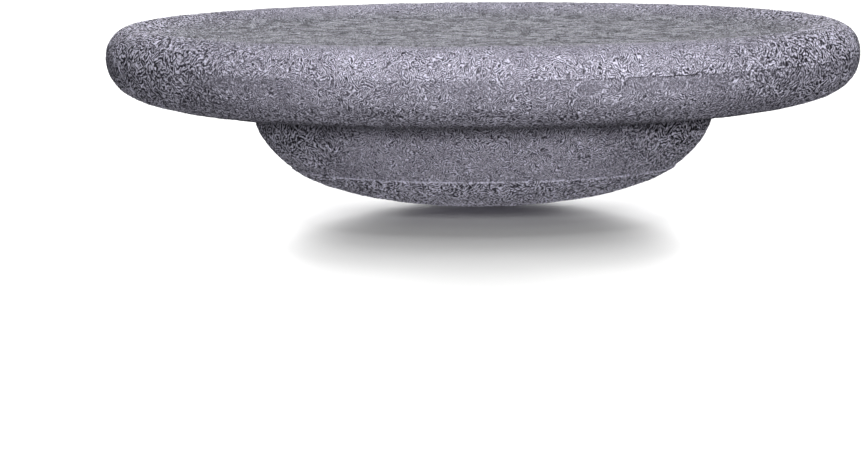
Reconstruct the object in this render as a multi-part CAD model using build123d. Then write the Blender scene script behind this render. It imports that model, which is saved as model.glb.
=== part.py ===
"""Balance dome trainer: a round rocker board in moulded bead foam.

A saucer-shaped deck with a thick rounded rim and a shallow standing dish
sits on a shallow rocking dome.  The deck is two mouldings that meet on a
parting plane round the widest circle of the rim.  The dome is a third
moulding whose spigot passes up through the lower deck moulding and lands
under the upper one, so that the standing load goes straight down.  A
separate sole closes the dome and stands slightly proud of it, which leaves
a fine ledge all round.  Thin adhesive films hold the four mouldings.

Frame: +Z up, origin at the lowest point of the sole, Z is the axis of
revolution.  Millimetres.
"""

import math
import os

from build123d import *

# ---------------------------------------------------------------- dimensions
DECK_R = 190.0          # outer radius of the deck, 380 mm across
SEAM_Z = 76.2           # height of the deck's widest circle and parting plane

# rim section as tangent arcs: (radius, slope at start, slope at end), degrees,
# slope 0 is level and outward, 90 is upright, 180 is level and inward
RIM_LOWER = ((110.0, 0.0, 18.0), (29.5, 18.0, 40.0), (19.8, 40.0, 90.0))
RIM_UPPER = ((16.2, 90.0, 115.0), (12.8, 115.0, 145.0), (16.2, 145.0, 180.0))

# standing dish: crest of the rim down to a level floor
DISH_BROW_R = 18.0      # convex radius just inside the crest
DISH_SLOPE = 22.0       # steepest slope of the dish wall, degrees
DISH_COVE_R = 75.0      # concave radius at the foot of the dish wall
DISH_EASE = 3.0         # slope where the wide easing radius begins, degrees
DISH_EASE_R = 600.0     # very wide radius that runs out on the level floor

# rocking dome, as tangent arcs from the pole outward
SOLE_ARCS = ((325.0, 0.0, 10.0), (152.0, 10.0, 21.0), (64.0, 21.0, 33.6))
DOME_ARCS = ((63.5, 33.5, 38.0), (51.0, 38.0, 58.0), (22.7, 58.0, 80.0))
LEDGE = 0.8             # how far the sole stands proud of the dome's lower edge

# joints between the mouldings
FILM = 0.4              # adhesive film thickness
FILM_BACK = 1.4         # how far a film stops short of the outer skin
FIT = 0.3               # radial slip fit of each spigot
REBATE_R = 168.0        # radius of the rebate that centres the upper deck
REBATE_Z = 66.0         # level of the floor of the rebate
REBATE_DRAFT = 2.0      # radial draft of the rebate wall
BORE_R = 96.0           # opening in the lower deck for the dome's spigot
CHAMFER = 2.0           # lead-in on every spigot
SOLE_SPIGOT_R = 38.0    # stub that centres the sole in the dome
SOLE_SPIGOT_H = 8.0


# ------------------------------------------------------------------- helpers
def chain(r, z, arcs):
    """Edges of tangent arcs from (r, z); returns (edges, end r, end z)."""
    edges = []
    for radius, a0, a1 in arcs:
        t0, t1 = math.radians(a0), math.radians(a1)
        tm = (t0 + t1) / 2

        def at(t):
            return (
                r + radius * (math.sin(t) - math.sin(t0)),
                z - radius * (math.cos(t) - math.cos(t0)),
            )

        mid, end = at(tm), at(t1)
        edges.append(ThreePointArc(v(r, z), v(*mid), v(*end)))
        r, z = end
    return edges, r, z


def v(r, z):
    return Vector(r, 0, z)


def path(points):
    """Straight edges through (r, z) points."""
    return [Line(v(*a), v(*b)) for a, b in zip(points, points[1:])]


def turned(edges):
    """Solid of revolution of a closed outline in the XZ plane."""
    return revolve(make_face(Wire(edges)), Axis.Z, 360)


def span(arcs):
    """Run and rise of a chain of arcs."""
    _, r, z = chain(0.0, 0.0, arcs)
    return r, z


# ------------------------------------------------------- key heights and radii
low_run, low_rise = span(RIM_LOWER)
UNDER_R, UNDER_Z = DECK_R - low_run, SEAM_Z - low_rise      # edge of the level underside
sole_run, SOLE_Z = span(SOLE_ARCS)                          # top of the sole
DOME_START_R = sole_run - LEDGE                             # dome radius at its lower edge
DOME_Z = SOLE_Z + FILM                                      # lower edge of the dome
_, dome_r, dome_z = chain(DOME_START_R, DOME_Z, DOME_ARCS)
SHOULDER_Z = UNDER_Z - FILM                                 # shoulder of the dome
lean = math.tan(math.radians(90.0 - DOME_ARCS[-1][2]))
SHOULDER_R = dome_r + (SHOULDER_Z - dome_z) * lean


# ------------------------------------------------------------ upper deck shell
def make_deck_upper():
    half = FILM / 2
    # the crown arcs start on the parting plane; a short upright land below them
    rim, r, z = chain(DECK_R, SEAM_Z + half, RIM_UPPER)
    brow = (DISH_BROW_R, 180.0, 180.0 + DISH_SLOPE)
    inner, r, z = chain(r, z, (brow,))
    # concave arcs turn the other way, so they are drawn from their own centres
    edges = rim + inner
    for radius, s0, s1 in (
        (DISH_COVE_R, DISH_SLOPE, DISH_EASE),
        (DISH_EASE_R, DISH_EASE, 0.0),
    ):
        t0, t1 = math.radians(s0), math.radians(s1)

        def at(t):
            return (
                r - radius * (math.sin(t0) - math.sin(t)),
                z - radius * (math.cos(t) - math.cos(t0)),
            )

        mid, end = at((t0 + t1) / 2), at(t1)
        edges.append(ThreePointArc(v(r, z), v(*mid), v(*end)))
        r, z = end
    floor_r, floor_z = r, z
    plug_z = REBATE_Z + half
    edges += path(
        [
            (floor_r, floor_z),
            (0.0, floor_z),
            (0.0, plug_z),
            (REBATE_R - REBATE_DRAFT - FIT - CHAMFER, plug_z),
            (REBATE_R - REBATE_DRAFT - FIT, plug_z + CHAMFER),
            (REBATE_R - FIT, SEAM_Z + half),
            (DECK_R, SEAM_Z + half),
        ]
    )
    return turned(edges), floor_r, floor_z


# ------------------------------------------------------------ lower deck shell
def make_deck_lower():
    half = FILM / 2
    rim, r, z = chain(UNDER_R, UNDER_Z - half, RIM_LOWER)
    edges = rim + path(
        [
            (DECK_R, SEAM_Z - half),
            (REBATE_R, SEAM_Z - half),
            (REBATE_R - REBATE_DRAFT, REBATE_Z - half),
            (BORE_R, REBATE_Z - half),
            (BORE_R, UNDER_Z - half),
            (UNDER_R, UNDER_Z - half),
        ]
    )
    return turned(edges)


# ------------------------------------------------------------------- the dome
def make_dome():
    half = FILM / 2
    top = REBATE_Z - half
    side, r, z = chain(DOME_START_R, DOME_Z, DOME_ARCS)
    shoulder = SHOULDER_Z - half
    edge_r = dome_r + (shoulder - dome_z) * lean
    edges = side + path(
        [
            (r, z),
            (edge_r, shoulder),
            (BORE_R - FIT, shoulder),
            (BORE_R - FIT, top - CHAMFER),
            (BORE_R - FIT - CHAMFER, top),
            (0.0, top),
            (0.0, DOME_Z + SOLE_SPIGOT_H),
            (SOLE_SPIGOT_R, DOME_Z + SOLE_SPIGOT_H),
            (SOLE_SPIGOT_R, DOME_Z),
            (DOME_START_R, DOME_Z),
        ]
    )
    return turned(edges)


# ------------------------------------------------------------------- the sole
def make_sole():
    cap, r, z = chain(0.0, 0.0, SOLE_ARCS)
    edges = cap + path(
        [
            (r, z),
            (SOLE_SPIGOT_R - FIT, SOLE_Z),
            (SOLE_SPIGOT_R - FIT, DOME_Z + SOLE_SPIGOT_H - FIT - 1.5),
            (SOLE_SPIGOT_R - FIT - 1.5, DOME_Z + SOLE_SPIGOT_H - FIT),
            (0.0, DOME_Z + SOLE_SPIGOT_H - FIT),
            (0.0, 0.0),
        ]
    )
    return turned(edges), r


# -------------------------------------------------------------- adhesive films
def ring(r_in, r_out, z, thick):
    """Flat ring from z up; a disc when r_in is 0."""
    body = Pos(0, 0, z) * Cylinder(
        r_out, thick, align=(Align.CENTER, Align.CENTER, Align.MIN)
    )
    if r_in > 0:
        body -= Pos(0, 0, z - 1) * Cylinder(
            r_in, thick + 2, align=(Align.CENTER, Align.CENTER, Align.MIN)
        )
    return body


def main():
    half = FILM / 2
    upper, floor_r, floor_z = make_deck_upper()
    lower = make_deck_lower()
    dome = make_dome()
    sole, sole_r = make_sole()

    # film on the rim land, between the two deck mouldings
    rim_film = ring(REBATE_R + 1.0, DECK_R - FILM_BACK, SEAM_Z - half, FILM)
    # film under the upper deck: a ring on the lower deck and a disc on the spigot
    core_ring = ring(
        BORE_R + 1.0, REBATE_R - REBATE_DRAFT - FIT - CHAMFER - 1.0, REBATE_Z - half, FILM
    )
    core_disc = ring(0.0, BORE_R - FIT - CHAMFER - 1.0, REBATE_Z - half, FILM)
    # film on the dome's shoulder
    shoulder_film = ring(
        BORE_R + 1.0, SHOULDER_R - FILM_BACK, SHOULDER_Z - half, FILM
    )
    # film on the sole, round its stub
    sole_film = ring(SOLE_SPIGOT_R + 1.0, DOME_START_R - FILM_BACK, SOLE_Z, FILM)

    parts = {
        "deck_upper_shell": upper,
        "deck_lower_shell": lower,
        "rocker_dome": dome,
        "sole_cap": sole,
        "rim_seam_adhesive": rim_film,
        "deck_core_adhesive": Compound(children=[core_ring, core_disc]),
        "dome_shoulder_adhesive": shoulder_film,
        "sole_adhesive": sole_film,
    }
    os.makedirs("parts", exist_ok=True)
    for name, shape in parts.items():
        export_step(shape, os.path.join("parts", name + ".step"))
    total = sum(s.volume for p in parts.values() for s in p.solids())
    print("underside level", round(UNDER_R, 2), round(UNDER_Z, 2))
    print("sole top", round(sole_r, 2), round(SOLE_Z, 3), "dome start", round(DOME_START_R, 2), round(DOME_Z, 3))
    print("dome shoulder", round(SHOULDER_R, 2), round(SHOULDER_Z, 2))
    print("dish floor radius", round(floor_r, 2), "height", round(floor_z, 3))
    print("crest height", round(upper.bounding_box().max.Z, 3))
    print("volume litres", round(total / 1e6, 3))


main()
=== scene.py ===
"""Balance dome trainer: visual model of a round rocker board in grey moulded bead foam.

Every visible piece is turned from the same section as its CAD piece and
carries the foam's own surface relief in its mesh: curly raised fibres, shallow
pits and the outlines of the fused beads.  Finer grain is left to the material.
Lengths in the tables below are millimetres; everything in Blender is metres.
"""

import math

import bpy
import numpy as np
from mathutils import Matrix, Vector


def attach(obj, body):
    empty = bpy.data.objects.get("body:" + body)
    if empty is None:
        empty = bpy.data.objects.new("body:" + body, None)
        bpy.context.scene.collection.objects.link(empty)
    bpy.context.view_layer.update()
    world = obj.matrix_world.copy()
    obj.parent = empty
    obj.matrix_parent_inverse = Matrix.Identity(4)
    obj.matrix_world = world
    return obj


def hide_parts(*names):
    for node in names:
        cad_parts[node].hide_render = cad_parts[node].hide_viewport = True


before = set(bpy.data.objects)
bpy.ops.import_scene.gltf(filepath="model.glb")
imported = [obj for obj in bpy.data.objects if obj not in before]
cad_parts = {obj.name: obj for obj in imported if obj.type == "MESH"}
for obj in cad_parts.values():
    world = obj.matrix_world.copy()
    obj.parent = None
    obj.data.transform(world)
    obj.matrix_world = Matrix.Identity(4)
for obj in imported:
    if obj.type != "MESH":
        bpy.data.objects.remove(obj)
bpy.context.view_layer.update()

F = np.float32

# ------------------------------------------------------------------- section
# tangent arcs: (radius, slope at start, slope at end), as in the design
DECK_R, SEAM_Z, FILM = 190.0, 76.2, 0.4
HALF = FILM / 2
RIM_LOWER = ((110.0, 0.0, 18.0), (29.5, 18.0, 40.0), (19.8, 40.0, 90.0))
RIM_UPPER = ((16.2, 90.0, 115.0), (12.8, 115.0, 145.0), (16.2, 145.0, 180.0), (18.0, 180.0, 202.0))
DISH = ((75.0, 22.0, 3.0), (600.0, 3.0, 0.0))
SOLE = ((325.0, 0.0, 10.0), (152.0, 10.0, 21.0), (64.0, 21.0, 33.6))
DOME = ((63.5, 33.5, 38.0), (51.0, 38.0, 58.0), (22.7, 58.0, 80.0))
LEDGE, FIT, CHAMFER = 0.8, 0.3, 2.0
REBATE_R, REBATE_Z, DRAFT = 168.0, 66.0, 2.0
BORE_R, STUB_R, STUB_H = 96.0, 38.0, 8.0

STEP = 0.6           # spacing of the relief's mesh on the skin
WIDE = 2048          # segments of the deck's widest ring
NARROW = 1280        # and of the dome's


def arcs_out(r, z, arcs, step=None):
    """(r, z, normal r, normal z) along tangent arcs that bulge outward, the first point left out."""
    out = []
    for radius, a0, a1 in arcs:
        n = max(2, int(math.ceil(radius * math.radians(abs(a1 - a0)) / (step or STEP))))
        for i in range(1, n + 1):
            t0, t = math.radians(a0), math.radians(a0 + (a1 - a0) * i / n)
            out.append((r + radius * (math.sin(t) - math.sin(t0)), z - radius * (math.cos(t) - math.cos(t0)), math.sin(t), -math.cos(t)))
        r, z = out[-1][:2]
    return out


def arcs_in(r, z, arcs):
    """The same along hollow arcs of a dish, inward and down; the slopes are those of the dish wall."""
    out = []
    for radius, a0, a1 in arcs:
        n = max(2, int(math.ceil(radius * math.radians(abs(a1 - a0)) / STEP)))
        for i in range(1, n + 1):
            t0, t = math.radians(a0), math.radians(a0 + (a1 - a0) * i / n)
            out.append((r - radius * (math.sin(t0) - math.sin(t)), z - radius * (math.cos(t) - math.cos(t0)), -math.sin(t), math.cos(t)))
        r, z = out[-1][:2]
    return out


def level(r0, r1, z, up):
    """A level run of the skin from r0 to r1, the first point left out."""
    n = max(1, int(round(abs(r1 - r0) / STEP)))
    return [(r0 + (r1 - r0) * i / n, z, 0.0, 1.0 if up else -1.0) for i in range(1, n + 1)]


def corner(r, z, n0, n1, radius, count=4):
    """A rounded edge: r, z is the sharp corner, n0 and n1 the normals before and after it, in degrees from +r."""
    a0, a1 = math.radians(n0), math.radians(n1)
    mid, d = (a0 + a1) / 2, radius / math.cos((a1 - a0) / 2)
    cr, cz = r - d * math.cos(mid), z - d * math.sin(mid)
    turns = [a0 + (a1 - a0) * i / count for i in range(count + 1)]
    return [(cr + radius * math.cos(a), cz + radius * math.sin(a), math.cos(a), math.sin(a)) for a in turns]


_p = arcs_out(0, 0, RIM_LOWER)[-1]
UNDER_R, UNDER_Z = DECK_R - _p[0], SEAM_Z - _p[1]
_p = arcs_out(0, 0, SOLE)[-1]
SOLE_R, SOLE_Z = _p[:2]
DOME_R0, DOME_Z = SOLE_R - LEDGE, SOLE_Z + FILM
_p = arcs_out(DOME_R0, DOME_Z, DOME)[-1]
SHOULDER_Z = UNDER_Z - FILM - HALF
SHOULDER_R = _p[0] + (SHOULDER_Z - _p[1]) * math.tan(math.radians(90.0 - DOME[-1][2]))

# --------------------------------------------------------------------- noise
RNG = np.random.default_rng(1907)
PERM = RNG.permutation(256).astype(np.int32)
GRAD = RNG.normal(size=(256, 3))
GRAD = (GRAD / np.linalg.norm(GRAD, axis=1)[:, None]).astype(F)
PLACE = RNG.random((256, 3)).astype(F)
SHADE = RNG.random(256).astype(F)
TILT = np.linalg.qr(RNG.normal(size=(3, 3)))[0].astype(F)


def cell(x, y, z, seed):
    return PERM[(PERM[(PERM[(x + seed) & 255] + y) & 255] + z) & 255]


def noise(p, wave, seed=0):
    """Gradient noise of the given wavelength in mm at points p, about -0.7 to 0.7."""
    q = p / F(wave) + F(seed * 17.31)
    i = np.floor(q).astype(np.int32)
    f = (q - i).astype(F)
    u = f * f * f * (f * (f * 6 - 15) + 10)
    out = np.zeros(len(p), F)
    for dx in (0, 1):
        wx = u[:, 0] if dx else 1 - u[:, 0]
        for dy in (0, 1):
            wy = wx * (u[:, 1] if dy else 1 - u[:, 1])
            for dz in (0, 1):
                w = wy * (u[:, 2] if dz else 1 - u[:, 2])
                g = GRAD[cell(i[:, 0] + dx, i[:, 1] + dy, i[:, 2] + dz, seed)]
                out += w * (g[:, 0] * (f[:, 0] - dx) + g[:, 1] * (f[:, 1] - dy) + g[:, 2] * (f[:, 2] - dz))
    return out


def warped(p, wave, amount, seed):
    """p pushed about by three noises, amount in mm."""
    return p + F(amount) * np.stack([noise(p, wave, seed + k) for k in (0, 1, 2)], 1)


def beads(p, size, seed):
    """How far p is from the wall between two fused beads, in bead sizes, each bead's own shade and its own direction."""
    q = p / F(size)
    i = np.floor(q).astype(np.int32)
    best, second = np.full(len(p), 9, F), np.full(len(p), 9, F)
    which = np.zeros(len(p), np.int32)
    for dx in (-1, 0, 1):
        for dy in (-1, 0, 1):
            for dz in (-1, 0, 1):
                c = i + np.array([dx, dy, dz], np.int32)
                h = cell(c[:, 0], c[:, 1], c[:, 2], seed)
                d = np.sqrt((((q - c) - PLACE[h]) ** 2).sum(1)).astype(F)
                nearer = d < best
                second = np.where(nearer, best, np.minimum(second, d))
                which = np.where(nearer, h, which)
                best = np.where(nearer, d, best)
    return second - best, SHADE[which], GRAD[which]


def smoothstep(a, b, x):
    t = np.clip((x - a) / (b - a), 0, 1)
    return t * t * (3 - 2 * t)


# ---------------------------------------------------------------------- mesh
def segments(full, r):
    """Segments of a ring of radius r: full, halved while they lie too close."""
    n = full
    while n > 20 and 2 * math.pi * r / n < STEP * 0.62:
        n //= 2
    return n


def turned(name, outline, full, relief, body="root"):
    """A closed mesh of revolution from outline, walked with the solid on its left.

    Each point is (r, z, normal r, normal z, weight): weight is how much of the
    relief it takes, and None marks a hidden face's point.  relief(points,
    normals, weights) returns each skin point's shift in mm and its look: tone,
    roughness of the fine lines and share of coarse lines.
    """
    # rings, with extra ones where a long face needs its segments halved more than once
    rings = []
    closed = outline[0][0] > 1e-6 or outline[-1][0] > 1e-6
    order = outline + ([outline[0]] if closed else [])
    for a, b in zip(order, order[1:]):
        rings.append(a)
        if a[0] < 1e-6 or b[0] < 1e-6:
            continue
        na, nb = segments(full, a[0]), segments(full, b[0])
        m = abs(int(round(math.log2(na / nb))))
        for k in range(1, m):
            t = k / m
            rings.append((a[0] + (b[0] - a[0]) * t, a[1] + (b[1] - a[1]) * t, 0.0, 1.0, None, (na >> k) if na > nb else (na << k)))
    if not closed:
        rings.append(order[-1])
    count = [1 if p[0] < 1e-6 else (p[5] if len(p) > 5 else segments(full, p[0])) for p in rings]
    start = np.concatenate([[0], np.cumsum(count)]).astype(int)
    skin = [p[4] is not None for p in rings]

    # distance along the skin, for laying it out as a disc
    run, s = [0.0] * len(rings), 0.0
    first = skin.index(True)
    idx = [k for k in range(len(rings)) if skin[k]]
    for a, b in zip(idx, idx[1:]):
        s += math.hypot(rings[b][0] - rings[a][0], rings[b][1] - rings[a][1])
        run[b] = s
    inward = rings[idx[-1]][0] < rings[idx[0]][0]
    base = min(rings[idx[0]][0], rings[idx[-1]][0]) if inward is False else rings[idx[-1]][0]
    for k in idx:
        run[k] = base + (s - run[k] if inward else run[k])
    wide = base + s
    deep = max([p[0] for p, on in zip(rings, skin) if not on] + [1.0])

    at = [np.arange(n) * (2 * math.pi / n) for n in count]
    verts = np.concatenate([np.stack([p[0] * np.cos(a), p[0] * np.sin(a), np.full(len(a), p[1])], 1) for p, a in zip(rings, at)])
    norms = np.concatenate([np.stack([p[2] * np.cos(a), p[2] * np.sin(a), np.full(len(a), p[3])], 1) for p, a in zip(rings, at)])
    weight = np.concatenate([np.full(len(a), p[4] if p[4] is not None else -1.0) for p, a in zip(rings, at)])
    on = np.nonzero(weight >= 0)[0]
    shift, look = relief(verts[on].astype(F), norms[on].astype(F), weight[on].astype(F))
    verts[on] += shift
    looks = np.tile(np.array([0.4, 0.8, 0.0], F), (len(verts), 1))
    looks[on] = look

    faces, maps, smooth = [], [], []

    def strip(i, j):
        both = skin[i] and skin[j]
        di, dj = (run[i], run[j]) if both else (rings[i][0], rings[j][0])
        cu, scale = (0.5, 0.496 / wide) if both else (0.93, 0.06 / deep)

        def spot(d, a):
            return np.stack([cu + scale * d * np.cos(a), cu + scale * d * np.sin(a)], -1)

        def add(*points):
            faces.append(np.stack([v for v, _d, _a in points], 1))
            maps.append(np.stack([spot(d, a) for _v, d, a in points], 1))
            smooth.append(np.full(len(points[0][0]), both))

        ni, nj, si, sj = count[i], count[j], start[i], start[j]
        if ni == 1 or nj == 1:
            n = max(ni, nj)
            k, b = np.arange(n), 2 * math.pi / n
            a, a1 = k * b, (k + 1) * b
            if nj == 1:
                add((si + k, di, a), (si + (k + 1) % n, di, a1), (np.full(n, sj), 0.0, a))
            else:
                add((np.full(n, si), 0.0, a), (sj + (k + 1) % n, dj, a1), (sj + k, dj, a))
        elif ni == nj:
            k, b = np.arange(ni), 2 * math.pi / ni
            k1, a, a1 = (k + 1) % ni, k * b, (k + 1) * b
            add((si + k, di, a), (si + k1, di, a1), (sj + k1, dj, a1), (sj + k, dj, a))
        elif ni == 2 * nj:
            k, b = np.arange(nj), math.pi / nj
            a0, a1, a2 = 2 * k * b, (2 * k + 1) * b, (2 * k + 2) * b
            f0, f1, f2, c0, c1 = si + 2 * k, si + 2 * k + 1, si + (2 * k + 2) % ni, sj + k, sj + (k + 1) % nj
            add((f0, di, a0), (f1, di, a1), (c0, dj, a0))
            add((f1, di, a1), (c1, dj, a2), (c0, dj, a0))
            add((f1, di, a1), (f2, di, a2), (c1, dj, a2))
        elif nj == 2 * ni:
            k, b = np.arange(ni), math.pi / ni
            a0, a1, a2 = 2 * k * b, (2 * k + 1) * b, (2 * k + 2) * b
            f0, f1, f2, c0, c1 = sj + 2 * k, sj + 2 * k + 1, sj + (2 * k + 2) % nj, si + k, si + (k + 1) % ni
            add((c0, di, a0), (f1, dj, a1), (f0, dj, a0))
            add((c0, di, a0), (c1, di, a2), (f1, dj, a1))
            add((c1, di, a2), (f2, dj, a2), (f1, dj, a1))
        else:
            raise RuntimeError(f"{name}: rings {i} and {j} have {ni} and {nj} segments")

    last = len(rings)
    for i in range(last):
        j = (i + 1) % last
        if j == 0 and not closed:
            break
        if count[i] > 1 or count[j] > 1:
            strip(i, j)

    sizes = np.concatenate([np.full(len(f), f.shape[1]) for f in faces])
    loops = np.concatenate([f.ravel() for f in faces]).astype(np.int32)
    me = bpy.data.meshes.new(name)
    me.vertices.add(len(verts))
    me.vertices.foreach_set("co", (verts / 1000.0).astype(F).ravel())
    me.loops.add(len(loops))
    me.loops.foreach_set("vertex_index", loops)
    me.polygons.add(len(sizes))
    me.polygons.foreach_set("loop_start", np.concatenate([[0], np.cumsum(sizes)[:-1]]).astype(np.int32))
    me.polygons.foreach_set("use_smooth", np.concatenate(smooth))
    me.uv_layers.new(name="OFBake").data.foreach_set("uv", np.concatenate([m.reshape(-1, 2) for m in maps]).astype(F).ravel())
    me.attributes.new("skin", "FLOAT_VECTOR", "POINT").data.foreach_set("vector", looks.ravel())
    me.update(calc_edges=True)
    me.validate()
    ob = bpy.data.objects.new(name, me)
    bpy.context.scene.collection.objects.link(ob)
    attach(ob, body)
    return ob


def weigh(points, at_start=None, at_end=None, span=1.2):
    """Adds each skin point's share of the relief, which dies away at a joint."""
    run = [0.0]
    for a, b in zip(points, points[1:]):
        run.append(run[-1] + math.hypot(b[0] - a[0], b[1] - a[1]))
    out = []
    for p, s in zip(points, run):
        w = 1.0
        if at_start is not None:
            w = min(w, at_start + (1 - at_start) * min(1.0, s / span))
        if at_end is not None:
            w = min(w, at_end + (1 - at_end) * min(1.0, (run[-1] - s) / span))
        out.append((*p, w))
    return out


def hide(*points):
    return [(r, z, 0.0, 1.0, None) for r, z in points]


# -------------------------------------------------------------------- relief
MARKS = (-74.8, -61.5)   # where steam vents left a ring on the rim, degrees round the axis


def creases(p, size, spacing, seed):
    """Parallel crests, -1 to 1, that run another way in each bead, with the bead's wall distance and shade."""
    q = warped(p, size * 1.4, size * 0.3, seed)
    wall, shade, way = beads(q, size, seed + 4)
    phase = (q * way).sum(1) * F(2 * math.pi / spacing) + F(2.2) * noise(p, spacing * 1.3, seed + 6)
    return np.sin(phase).astype(F), wall, shade


def foam(p, seed, wave, height, reach, coarse, level_share=0.0):
    """The moulded skin of the foam: height in mm, then tone, roughness of its fine lines and share of coarse ones.

    The skin is more open towards the two ends of the board along x, reach mm out, and its tone is lowered there as
    painted shade of the sides that face away from the front lights.
    """
    ends = smoothstep(0.42, 0.92, np.abs(p[:, 0]) / reach).astype(F)
    coarse = np.maximum(coarse, ends)
    p = p @ TILT
    patch = noise(p, 14.0, seed)
    stand = np.clip(0.9 + 0.7 * patch, 0.5, 1.25) * (1 + 0.55 * coarse)
    one, wall, shade = creases(p, wave * 2.4, wave, seed + 10)
    two, _w, _s = creases(p, wave * 1.7, wave * 0.8, seed + 20)
    dome = np.clip(wall / F(0.35), 0, 1)
    dome = dome * (2 - dome)
    crest = 0.6 * one + 0.4 * two
    roll = noise(warped(p, 12.0, 2.0, seed + 30), 6.5, seed + 34)
    swell = noise(warped(p, 20.0, 4.0, seed + 40), 15.0, seed + 44)
    big = (F(0.20) * roll + F(0.34) * swell) * (1 - level_share)
    h = F(height) * (0.50 * stand * crest + 0.26 * (dome - 0.7) + 0.10 * (shade - 0.5)) + big
    # painted highlight and shade: the tone follows the relief, lighter on crests and swells and darker along bead walls
    # and in hollows, and it drops towards the two ends along x
    tone = 0.5 + (0.08 + 0.46 * coarse) * stand * crest + 0.12 * (dome - 0.7) + 0.06 * (shade - 0.5) + (0.1 + 0.6 * coarse) * big - 0.24 * ends
    rough = 0.76 + 0.38 * patch + 0.80 * coarse
    return h.astype(F), tone.astype(F), rough.astype(F), coarse.astype(F)


def look(tone, rough, coarse):
    return np.stack([np.clip(tone, -0.3, 1.3), np.clip(rough, 0.2, 1.9), np.clip(coarse, 0, 1)], 1).astype(F)


def plain_relief(seed, wave, height, reach, coarse=0.0, pole=False):
    def relief(p, n, w):
        h, tone, rough, share = foam(p, seed, wave, height, reach, np.full(len(p), coarse, F))
        if pole:
            # nothing stands out of the sole where it meets the ground
            r = np.hypot(p[:, 0], p[:, 1])
            h = np.where(h > 0, h * smoothstep(17.0, 34.0, r), h)
            # painted highlight: the lip's top is painted light for the bright line it catches
            lip_highlight = smoothstep(SOLE_Z - 0.25, SOLE_Z + 0.15, p[:, 2]) * np.clip(0.75 + 0.9 * noise(p, 9.0, 71), 0, 1)
            tone = tone * (1 - 0.8 * lip_highlight) + 1.5 * lip_highlight
            rough = rough * (1 - 0.9 * lip_highlight)
        return n * (h * w)[:, None].astype(F), look(tone, rough, share)
    return relief


def rim_relief(seed, wave, height):
    """Relief of a deck moulding, with the dish's low humps, the wavering parting line and the vent rings."""
    def relief(p, n, w):
        x, y, z = p[:, 0], p[:, 1], p[:, 2]
        r = np.hypot(x, y)
        low = smoothstep(66.0, 56.0, z) * (r > 118)
        # the dish lies flatter, and its beads differ more in shade
        dish = (smoothstep(168.0, 146.0, r) * (n[:, 2] > 0.5)).astype(F)
        h, tone, rough, coarse = foam(p, seed, wave, height, 190.0, (0.7 * low).astype(F), 0.75 * dish)
        coarse = coarse * (1 - 0.7 * dish)
        if dish.any():
            q = warped(p @ TILT, 9.0, 1.5, seed + 50)
            hump = noise(q, 6.4, seed + 54) + F(0.5) * noise(q, 4.0, seed + 55)
            wall, shade, _way = beads(q, 5.2, seed + 57)
            h = h * (1 + 0.2 * dish) + F(0.13) * dish * hump
            # painted highlight and shade: the tone follows the humps' height; the beads' own shades and darker outlines
            # are their colour
            tone = tone + dish * (0.32 * hump + 0.92 * (shade - 0.5) + 0.30 * (np.clip(wall / F(0.22), 0, 1) - 0.8))
        ring = p * np.array([1, 1, 0], F)
        # the skin lies calmer in places just under the parting line
        calm = smoothstep(67.0, 71.0, z) * smoothstep(76.1, 75.6, z) * (r > 180) * np.clip(0.35 + 1.2 * noise(ring, 34.0, 64) + 0.5 * smoothstep(40.0, 60.0, x) * smoothstep(125.0, 100.0, x) * (y < 0), 0, 0.85)
        for at in MARKS:
            u = r * ((np.arctan2(y, x) - math.radians(at) + math.pi) % (2 * math.pi) - math.pi)
            d = np.sqrt((u / 7.0) ** 2 + ((z - 71.9) / 4.0) ** 2) + (r < 180) * 9
            calm = np.maximum(calm, 0.35 * smoothstep(1.05, 0.9, d))
            line = np.exp(-(((d - 1.0) / 0.11) ** 2)) * np.clip(0.8 + 1.2 * noise(p, 5.0, 65), 0, 1)
            h = h - F(0.09) * np.exp(-(((d - 1.12) / 0.09) ** 2)) + F(0.07) * line
            tone = tone + 0.5 * line
        h = h * (1 - 0.5 * calm)
        tone = 0.5 + (tone - 0.5) * (1 - 0.5 * calm)
        rough = rough * (1 - 0.62 * calm)
        h = h * w
        shift = n * h[:, None].astype(F)
        # the parting line wavers, shuts almost wholly in places and stands open on the right of the front
        near = np.exp(-(((z - SEAM_Z) / 1.6) ** 2)) * (r > 186)
        waver = 0.28 * noise(ring, 26.0, 61) + 0.22 * noise(ring, 7.0, 62)
        gape = smoothstep(15.0, 70.0, x) * smoothstep(20.0, -20.0, y)
        shut = np.clip(0.94 - 0.36 * gape + (0.10 + 0.45 * gape) * 2 * noise(ring, 13.0, 63), 0.2, 0.985)
        close = (SEAM_Z - z) * shut * np.exp(-(((z - SEAM_Z) / 0.7) ** 2)) * (r > 188.75)
        shift[:, 2] += (near * waver * smoothstep(187.0, 189.3, r) + close).astype(F)
        # painted highlight along the parting line's upper edge; the skin is darker along its lower edge, more so where
        # it gapes
        flash_highlight = np.exp(-(((z - SEAM_Z - 0.65) / 0.32) ** 2)) * (r > 186) * np.clip(0.15 + 1.7 * noise(ring, 5.0, 66), 0, 1) * (0.35 + 0.65 * gape)
        under_seam_dark = np.exp(-(((z - SEAM_Z + 0.10) / 0.42) ** 2)) * (r > 186) * (0.25 + 0.75 * gape)
        tone = tone + 0.65 * flash_highlight - 0.36 * under_seam_dark
        return shift, look(tone, rough, coarse)
    return relief


# ----------------------------------------------------------------- the pieces
def deck_upper():
    z0 = SEAM_Z + HALF
    skin = [(188.9, z0, 0.0, -1.0)] + corner(DECK_R, z0, -90, 0, 0.16) + arcs_out(DECK_R, z0, RIM_UPPER)
    skin += arcs_in(*skin[-1][:2], DISH)
    floor_z = skin[-1][1]
    skin += level(skin[-1][0], 0.0, floor_z, True)
    plug = REBATE_Z + HALF
    back = hide((0.0, plug), (REBATE_R - DRAFT - FIT - CHAMFER, plug), (REBATE_R - DRAFT - FIT, plug + CHAMFER), (REBATE_R - FIT, z0), (188.75, z0))
    return turned("deck_upper_skin", weigh(skin, at_start=0.0) + back, WIDE, rim_relief(3, 2.6, 0.31))


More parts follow.
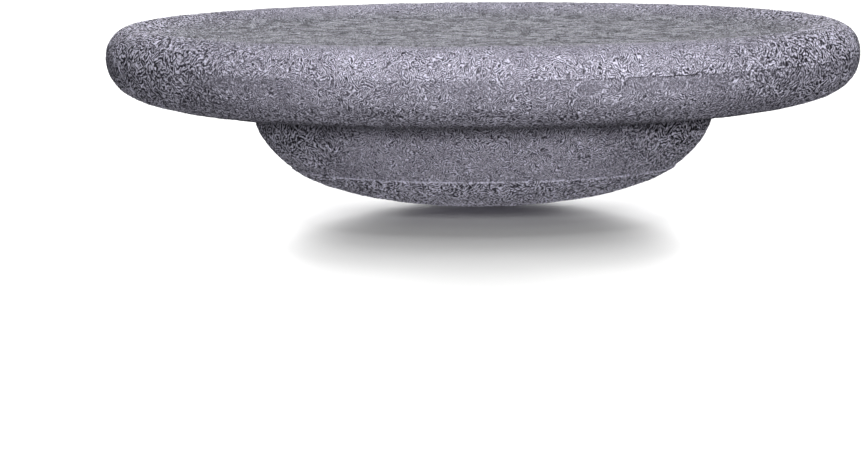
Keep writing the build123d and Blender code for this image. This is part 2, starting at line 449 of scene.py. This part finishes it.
def deck_lower():
    z0, z1 = UNDER_Z - HALF, SEAM_Z - HALF
    skin = [(SHOULDER_R - 3.0, z0, 0.0, -1.0)] + level(SHOULDER_R - 3.0, UNDER_R, z0, False)
    skin += arcs_out(UNDER_R, z0, RIM_LOWER)[:-1]
    skin += corner(DECK_R, z1, 0, 90, 0.16) + [(188.9, z1, 0.0, 1.0)]
    back = hide((188.75, z1), (REBATE_R, z1), (REBATE_R - DRAFT, REBATE_Z - HALF), (BORE_R, REBATE_Z - HALF), (BORE_R, z0))
    return turned("deck_lower_skin", weigh(skin, at_start=0.0, at_end=0.0) + back, WIDE, rim_relief(103, 2.6, 0.34))


def dome():
    top = REBATE_Z - HALF
    skin = corner(DOME_R0, DOME_Z, -90, -90 + DOME[0][1], 0.12)
    side = arcs_out(DOME_R0, DOME_Z, DOME)
    r, z = side[-1][:2]
    steps = 2
    nr, nz = math.sin(math.radians(80)), -math.cos(math.radians(80))
    side += [(r + (SHOULDER_R - r) * k / (steps + 1), z + (SHOULDER_Z - z) * k / (steps + 1), nr, nz) for k in range(1, steps + 1)]
    skin = [(DOME_R0 - 0.9, DOME_Z, 0.0, -1.0)] + skin + side + corner(SHOULDER_R, SHOULDER_Z, -10, 90, 0.35) + [(SHOULDER_R - 1.3, SHOULDER_Z, 0.0, 1.0)]
    back = hide((SHOULDER_R - 1.5, SHOULDER_Z), (BORE_R - FIT, SHOULDER_Z), (BORE_R - FIT, top - CHAMFER), (BORE_R - FIT - CHAMFER, top), (0.0, top),
                (0.0, DOME_Z + STUB_H), (STUB_R, DOME_Z + STUB_H), (STUB_R, DOME_Z), (DOME_R0 - 1.2, DOME_Z))
    return turned("dome_skin", weigh(skin, at_start=0.0, at_end=0.0) + back, NARROW, plain_relief(203, 2.5, 0.44, 108.0, coarse=0.12))


def sole():
    top = DOME_Z + STUB_H - FIT
    skin = [(0.0, 0.0, 0.0, -1.0)] + arcs_out(0.0, 0.0, SOLE)[:-1]
    # a low upright lip that hugs the dome's foot
    slope = math.tan(math.radians(DOME[0][1]))
    edge = SOLE_R + 0.05
    top_z = DOME_Z + (edge - DOME_R0) * slope - 0.10
    skin += [(edge, SOLE_Z + 0.10, 0.95, -0.3), (edge, (SOLE_Z + top_z) / 2, 1.0, 0.0), (edge - 0.01, top_z - 0.14, 1.0, 0.05), (edge - 0.06, top_z - 0.05, 0.8, 0.6), (edge - 0.18, top_z - 0.07, 0.0, 1.0)]
    skin += [(SOLE_R - 0.75, DOME_Z - 0.08, 0.0, 1.0), (SOLE_R - 1.7, SOLE_Z + FILM - 0.10, 0.0, 1.0)]
    back = hide((SOLE_R - 2.1, SOLE_Z), (STUB_R - FIT, SOLE_Z), (STUB_R - FIT, top - 1.5), (STUB_R - FIT - 1.5, top), (0.0, top))
    return turned("sole_skin", weigh(skin, at_end=0.0, span=2.6) + back, NARROW, plain_relief(303, 2.7, 0.46, 97.0, coarse=0.8, pole=True))


# ----------------------------------------------------------------- materials
def principled(name):
    m = bpy.data.materials.new(name)
    m.use_nodes = True
    nt = m.node_tree
    return m, nt, nt.nodes["Principled BSDF"]


def node(nt, kind, **inputs):
    n = nt.nodes.new(kind)
    for k, v in inputs.items():
        if k in n.inputs:
            n.inputs[k].default_value = v
        else:
            setattr(n, k, v)
    return n


def ramp(nt, source, stops):
    n = nt.nodes.new("ShaderNodeValToRGB")
    n.color_ramp.interpolation = "LINEAR"
    while len(n.color_ramp.elements) < len(stops):
        n.color_ramp.elements.new(0.5)
    for e, (at, c) in zip(n.color_ramp.elements, stops):
        e.position, e.color = at, (*c, 1.0)
    nt.links.new(source, n.inputs["Fac"])
    return n.outputs["Color"]


def maths(nt, op, a, b):
    n = nt.nodes.new("ShaderNodeMath")
    n.operation = op
    for k, x in enumerate((a, b)):
        if hasattr(x, "links"):
            nt.links.new(x, n.inputs[k])
        else:
            n.inputs[k].default_value = x
    return n.outputs[0]


def spread(nt, source, a, b, lo=0.0, hi=1.0, smooth=True):
    """Maps a to lo and b to hi."""
    n = nt.nodes.new("ShaderNodeMapRange")
    n.interpolation_type = "SMOOTHSTEP" if smooth else "LINEAR"
    for k, x in (("From Min", a), ("From Max", b), ("To Min", lo), ("To Max", hi)):
        n.inputs[k].default_value = x
    nt.links.new(source, n.inputs["Value"])
    return n.outputs[0]


def foam_material(name, dark, mid, light, wave, bump, rough, dish=None, under_deck_shade=None):
    """Bead foam: the mesh's own tone, finer curly fibres, specks, pits and a soft sheen on the crests.  wave is the fibres' spacing in mm."""
    m, nt, bsdf = principled(name)
    link = nt.links.new
    co = node(nt, "ShaderNodeTexCoord").outputs["Object"]
    mm = nt.nodes.new("ShaderNodeVectorMath")
    mm.operation = "SCALE"
    link(co, mm.inputs[0])
    mm.inputs["Scale"].default_value = 1000.0
    mm = mm.outputs[0]

    # push the coordinates about, so that the curls bend
    push = node(nt, "ShaderNodeTexNoise", Scale=0.22, Detail=1.0)
    link(mm, push.inputs["Vector"])
    off = nt.nodes.new("ShaderNodeVectorMath")
    off.operation = "MULTIPLY_ADD"
    link(push.outputs["Color"], off.inputs[0])
    off.inputs[1].default_value = (3.0, 3.0, 3.0)
    link(mm, off.inputs[2])
    bent = off.outputs[0]

    def vector(op, p, q):
        n = nt.nodes.new("ShaderNodeVectorMath")
        n.operation = op
        for k, x in enumerate((p, q)):
            if hasattr(x, "links"):
                link(x, n.inputs[k])
            elif x is not None:
                n.inputs[k].default_value = x
        return n.outputs["Value" if op == "DOT_PRODUCT" else "Vector"]

    def creases(at, size, spacing, shift, edge):
        """Fine parallel lines, 0 to 1, that run another way in each bead; a small edge makes them crisp."""
        at = vector("ADD", at, (shift, shift * 0.7, -shift))
        cell = node(nt, "ShaderNodeTexVoronoi", Scale=1.0 / size)
        link(at, cell.inputs["Vector"])
        way = vector("NORMALIZE", vector("SUBTRACT", cell.outputs["Color"], (0.5, 0.5, 0.5)), None)
        n = node(nt, "ShaderNodeTexNoise", Scale=0.8 / spacing, Detail=0.0)
        link(at, n.inputs["Vector"])
        phase = maths(nt, "MULTIPLY", vector("DOT_PRODUCT", at, way), 2 * math.pi / spacing)
        s = maths(nt, "SINE", maths(nt, "ADD", phase, maths(nt, "MULTIPLY", n.outputs["Fac"], 7.0)), 0.0)
        return spread(nt, s, -edge, edge)

    one = creases(bent, wave * 1.9, wave * 0.47, 0.0, 0.8)
    two = creases(bent, wave * 1.4, wave * 0.40, 31.0, 0.8)
    three = creases(bent, wave * 2.5, wave * 0.84, 57.0, 0.3)
    which = node(nt, "ShaderNodeTexNoise", Scale=0.24, Detail=0.0)
    link(mm, which.inputs["Vector"])
    share = spread(nt, which.outputs["Fac"], 0.36, 0.64)
    skin = nt.nodes.new("ShaderNodeAttribute")
    skin.attribute_name = "skin"
    sep = nt.nodes.new("ShaderNodeSeparateXYZ")
    link(skin.outputs["Vector"], sep.inputs[0])
    tone, rough_lines, coarse = sep.outputs
    fine = maths(nt, "ADD", maths(nt, "MULTIPLY", one, share), maths(nt, "MULTIPLY", two, maths(nt, "SUBTRACT", 1.0, share)))
    coarse = maths(nt, "MULTIPLY", coarse, 0.75)
    crest = maths(nt, "ADD", maths(nt, "MULTIPLY", three, coarse), maths(nt, "MULTIPLY", fine, maths(nt, "SUBTRACT", 1.0, coarse)))
    dots = node(nt, "ShaderNodeTexNoise", Scale=1.1, Detail=1.0, Roughness=0.6)
    link(mm, dots.inputs["Vector"])
    speck = spread(nt, dots.outputs["Fac"], 0.62, 0.72)
    holes = node(nt, "ShaderNodeTexNoise", Scale=0.62, Detail=1.0, Roughness=0.5)
    link(bent, holes.inputs["Vector"])
    pit = spread(nt, holes.outputs["Fac"], 0.37, 0.27)
    broad = node(nt, "ShaderNodeTexNoise", Scale=0.055, Detail=3.0, Roughness=0.55)
    link(mm, broad.inputs["Vector"])

    # value that colours the skin: the mesh's tone, then curls, specks, pits and slow patches; the curls, dots and
    # specks are lighter where the bump stands high and the pits darker, as painted highlight and shade over the bump
    v = maths(nt, "MULTIPLY", maths(nt, "SUBTRACT", tone, 0.5), 0.50)
    v = maths(nt, "ADD", v, maths(nt, "MULTIPLY", maths(nt, "MULTIPLY", maths(nt, "SUBTRACT", crest, 0.5), rough_lines), 0.90))
    v = maths(nt, "ADD", v, maths(nt, "MULTIPLY", maths(nt, "SUBTRACT", dots.outputs["Fac"], 0.5), 0.7))
    v = maths(nt, "ADD", v, maths(nt, "MULTIPLY", speck, 0.13))
    v = maths(nt, "SUBTRACT", v, maths(nt, "MULTIPLY", pit, 0.14))
    v = maths(nt, "ADD", v, maths(nt, "MULTIPLY", maths(nt, "SUBTRACT", broad.outputs["Fac"], 0.5), 0.14))
    v = maths(nt, "ADD", v, 0.5)
    colour = ramp(nt, v, ((0.0, dark), (0.5, mid), (1.0, light)))
    if dish is not None:
        # the dish is coloured a darker, more neutral grey than the rim; the darkening is painted shade of the recessed
        # dish
        sep = nt.nodes.new("ShaderNodeSeparateXYZ")
        link(mm, sep.inputs[0])
        rr = maths(nt, "SQRT", maths(nt, "ADD", maths(nt, "MULTIPLY", sep.outputs[0], sep.outputs[0]), maths(nt, "MULTIPLY", sep.outputs[1], sep.outputs[1])), 0.0)
        mix = nt.nodes.new("ShaderNodeMix")
        mix.data_type, mix.blend_type = "RGBA", "MULTIPLY"
        link(spread(nt, rr, 172.0, 152.0), mix.inputs[0])
        link(colour, mix.inputs[6])
        mix.inputs[7].default_value = (*dish, 1.0)
        colour = mix.outputs[2]
    if under_deck_shade is not None:
        # painted shade: the skin is darkened up under the deck, where shade falls
        sep = nt.nodes.new("ShaderNodeSeparateXYZ")
        link(mm, sep.inputs[0])
        mix = nt.nodes.new("ShaderNodeMix")
        mix.data_type, mix.blend_type = "RGBA", "MULTIPLY"
        link(spread(nt, sep.outputs[2], under_deck_shade[0], under_deck_shade[1]), mix.inputs[0])
        link(colour, mix.inputs[6])
        mix.inputs[7].default_value = (under_deck_shade[2], under_deck_shade[2], under_deck_shade[2], 1.0)
        colour = mix.outputs[2]
    link(colour, bsdf.inputs["Base Color"])
    link(spread(nt, v, 0.1, 0.9, rough + 0.14, rough - 0.12, smooth=False), bsdf.inputs["Roughness"])

    h = maths(nt, "MULTIPLY", crest, maths(nt, "ADD", 0.8, maths(nt, "MULTIPLY", coarse, 1.3)))
    h = maths(nt, "ADD", h, maths(nt, "MULTIPLY", dots.outputs["Fac"], 0.9))
    h = maths(nt, "SUBTRACT", h, maths(nt, "MULTIPLY", pit, 0.6))
    b = node(nt, "ShaderNodeBump", Strength=bump, Distance=0.0004)
    link(h, b.inputs["Height"])
    link(b.outputs["Normal"], bsdf.inputs["Normal"])
    bsdf.inputs["Specular IOR Level"].default_value = 0.12
    return m


def film_material():
    """Cured adhesive film: dark, slightly glossy, with brushed streaks and trapped bubbles."""
    m, nt, bsdf = principled("adhesive_film")
    link = nt.links.new
    co = node(nt, "ShaderNodeTexCoord").outputs["Object"]
    smear = node(nt, "ShaderNodeTexNoise", Scale=90.0, Detail=4.0, Roughness=0.6, Distortion=0.8)
    link(co, smear.inputs["Vector"])
    link(ramp(nt, smear.outputs["Fac"], ((0.25, (0.030, 0.029, 0.032)), (0.75, (0.085, 0.082, 0.088)))), bsdf.inputs["Base Color"])
    bubbles = node(nt, "ShaderNodeTexVoronoi", Scale=420.0)
    link(co, bubbles.inputs["Vector"])
    link(maths(nt, "ADD", maths(nt, "MULTIPLY", smear.outputs["Fac"], 0.3), 0.25), bsdf.inputs["Roughness"])
    b = node(nt, "ShaderNodeBump", Strength=0.4, Distance=0.0002)
    link(bubbles.outputs["Distance"], b.inputs["Height"])
    link(b.outputs["Normal"], bsdf.inputs["Normal"])
    return m


upper, lower, round_, cap = deck_upper(), deck_lower(), dome(), sole()
DARK, MID, LIGHT = (0.016, 0.0145, 0.020), (0.185, 0.178, 0.220), (0.70, 0.68, 0.82)
# painted light and shade: the four pieces are the same foam, but each piece's mid and light tones are scaled on its
# own, the deck's upper shell lighter than its lower one and the dome and sole lighter still, to stand in for how each
# part is lit
for ob, cad, slot, mat in (
    (upper, "deck_upper_shell", "deck_foam", foam_material("deck_foam", DARK, tuple(1.24 * c for c in MID), tuple(1.07 * c for c in LIGHT), 1.9, 0.8, 0.5, dish=(0.765, 0.792, 0.745))),
    (lower, "deck_lower_shell", "underdeck_foam", foam_material("underdeck_foam", DARK, tuple(0.96 * c for c in MID), LIGHT, 1.9, 0.8, 0.5, under_deck_shade=(55.0, 50.4, 0.28))),
    (round_, "rocker_dome", "dome_foam", foam_material("dome_foam", DARK, tuple(1.5 * c for c in MID), tuple(1.1 * c for c in LIGHT), 1.9, 0.9, 0.5, under_deck_shade=(38.0, 50.0, 0.21))),
    (cap, "sole_cap", "sole_foam", foam_material("sole_foam", DARK, tuple(1.3 * c for c in MID), tuple(1.2 * c for c in LIGHT), 1.9, 1.0, 0.5)),
):
    ob.data.materials.append(mat)
    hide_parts(cad)

film = film_material()
for name in ("rim_seam_adhesive", "deck_core_adhesive", "dome_shoulder_adhesive", "sole_adhesive"):
    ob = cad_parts[name]
    for s in ob.material_slots:
        s.material = film
    if not ob.material_slots:
        ob.data.materials.append(film)

# --------------------------------------------------------- floor, light, camera
floor_me = bpy.data.meshes.new("studio_floor")
N, R = 96, 80.0
ring = [(R * math.cos(2 * math.pi * k / N), R * math.sin(2 * math.pi * k / N), -0.00012) for k in range(N)]
floor_me.from_pydata(ring, [], [tuple(range(N))])
floor = bpy.data.objects.new("studio_floor", floor_me)
bpy.context.scene.collection.objects.link(floor)
m, nt, bsdf = principled("studio_floor")
bsdf.inputs["Base Color"].default_value = (0.5, 0.5, 0.5, 1)
bsdf.inputs["Roughness"].default_value = 0.9
bsdf.inputs["Specular IOR Level"].default_value = 0.0
# seen from below, the floor is left out
side = nt.nodes.new("ShaderNodeNewGeometry")
see = nt.nodes.new("ShaderNodeBsdfTransparent")
mix = nt.nodes.new("ShaderNodeMixShader")
nt.links.new(side.outputs["Backfacing"], mix.inputs[0])
nt.links.new(bsdf.outputs[0], mix.inputs[1])
nt.links.new(see.outputs[0], mix.inputs[2])
nt.links.new(mix.outputs[0], nt.nodes["Material Output"].inputs["Surface"])
floor_me.materials.append(m)
floor.visible_diffuse = False
floor.visible_glossy = False
floor.visible_shadow = False

world = bpy.data.worlds.new("studio")
bpy.context.scene.world = world
world.use_nodes = True
nt = world.node_tree
back = nt.nodes["Background"]
back.inputs["Color"].default_value = (1, 1, 1, 1)
back.inputs["Strength"].default_value = 0.02
white = nt.nodes.new("ShaderNodeBackground")
white.inputs["Color"].default_value = (1, 1, 1, 1)
white.inputs["Strength"].default_value = 1.1
path = nt.nodes.new("ShaderNodeLightPath")
mix = nt.nodes.new("ShaderNodeMixShader")
nt.links.new(path.outputs["Is Camera Ray"], mix.inputs[0])
nt.links.new(back.outputs[0], mix.inputs[1])
nt.links.new(white.outputs[0], mix.inputs[2])
nt.links.new(mix.outputs[0], nt.nodes["World Output"].inputs["Surface"])


def sun(name, azimuth, elevation, angle, strength):
    """A distant soft light; azimuth 0 shines along +Y, positive comes from the right."""
    d = bpy.data.lights.new(name, "SUN")
    d.energy, d.angle = strength, math.radians(angle)
    ob = bpy.data.objects.new(name, d)
    a, e = math.radians(azimuth), math.radians(elevation)
    way = Vector((-math.sin(a) * math.cos(e), math.cos(a) * math.cos(e), -math.sin(e)))
    ob.rotation_euler = way.to_track_quat("-Z", "Y").to_euler()
    bpy.context.scene.collection.objects.link(ob)
    return ob


def only(lamp, receivers, blockers=None):
    """Limits what a lamp lights, and what casts its shadows."""
    for part, obs in (("receiver_collection", receivers), ("blocker_collection", blockers)):
        if obs is not None:
            c = bpy.data.collections.new(f"{lamp.name}_{part}")
            for ob in obs:
                c.objects.link(ob)
            setattr(lamp.light_linking, part, c)


board = [upper, lower, round_, cap] + [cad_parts[name] for name in ("rim_seam_adhesive", "deck_core_adhesive", "dome_shoulder_adhesive", "sole_adhesive")]
for lamp in (
    sun("front_right", 45, 31, 26, 1.15),
    sun("front", 12, 33, 22, 1.3),
    sun("front_left", -18, 34, 22, 0.75),
    sun("front_low", 14, 6, 20, 0.75),
    sun("top", 0, 80, 44, 1.40),
    sun("below", 0, -46, 45, 1.6),
    sun("rear", 180, 15, 36, 0.45),
):
    only(lamp, board)

# the table is lit on its own, mostly from low behind, so that it stays white with a soft fan of shadow in front of the sole
for lamp, blockers in (
    (sun("table_lowest", 180, 3.3, 6, 52.0), [cap]),
    (sun("table_low", 180, 6, 10, 17.0), [cap]),
    (sun("table_middle", 180, 11, 18, 8.4), [cap]),
    (sun("table_high", 180, 36, 60, 2.2), [cap]),
    (sun("table_front", 0, 30, 40, 2.0), [round_, cap]),
):
    only(lamp, [floor], blockers)

# the camera looks slightly down on the rim from in front
cam = bpy.data.cameras.new("camera")
cam.sensor_width, cam.lens = 36.0, 206.66
cam.clip_start, cam.clip_end = 0.05, 400.0
eye = bpy.data.objects.new("camera", cam)
bpy.context.scene.collection.objects.link(eye)
pitch, pan, roll = 0.1045, -0.0109, -0.0084
right = Vector((math.cos(pan), -math.sin(pan), 0))
up = Vector((math.sin(pan) * math.sin(pitch), math.cos(pan) * math.sin(pitch), math.cos(pitch)))
ahead = Vector((math.sin(pan) * math.cos(pitch), math.cos(pan) * math.cos(pitch), -math.sin(pitch)))
x = right * math.cos(roll) + up * math.sin(roll)
y = up * math.cos(roll) - right * math.sin(roll)
turn = Matrix((x, y, -ahead)).transposed().to_4x4()
turn.translation = Vector((0.0, -2.49234, 0.25055))
eye.matrix_world = turn
bpy.context.scene.camera = eye

bpy.context.scene.view_settings.view_transform = "Standard"

bpy.context.view_layer.update()
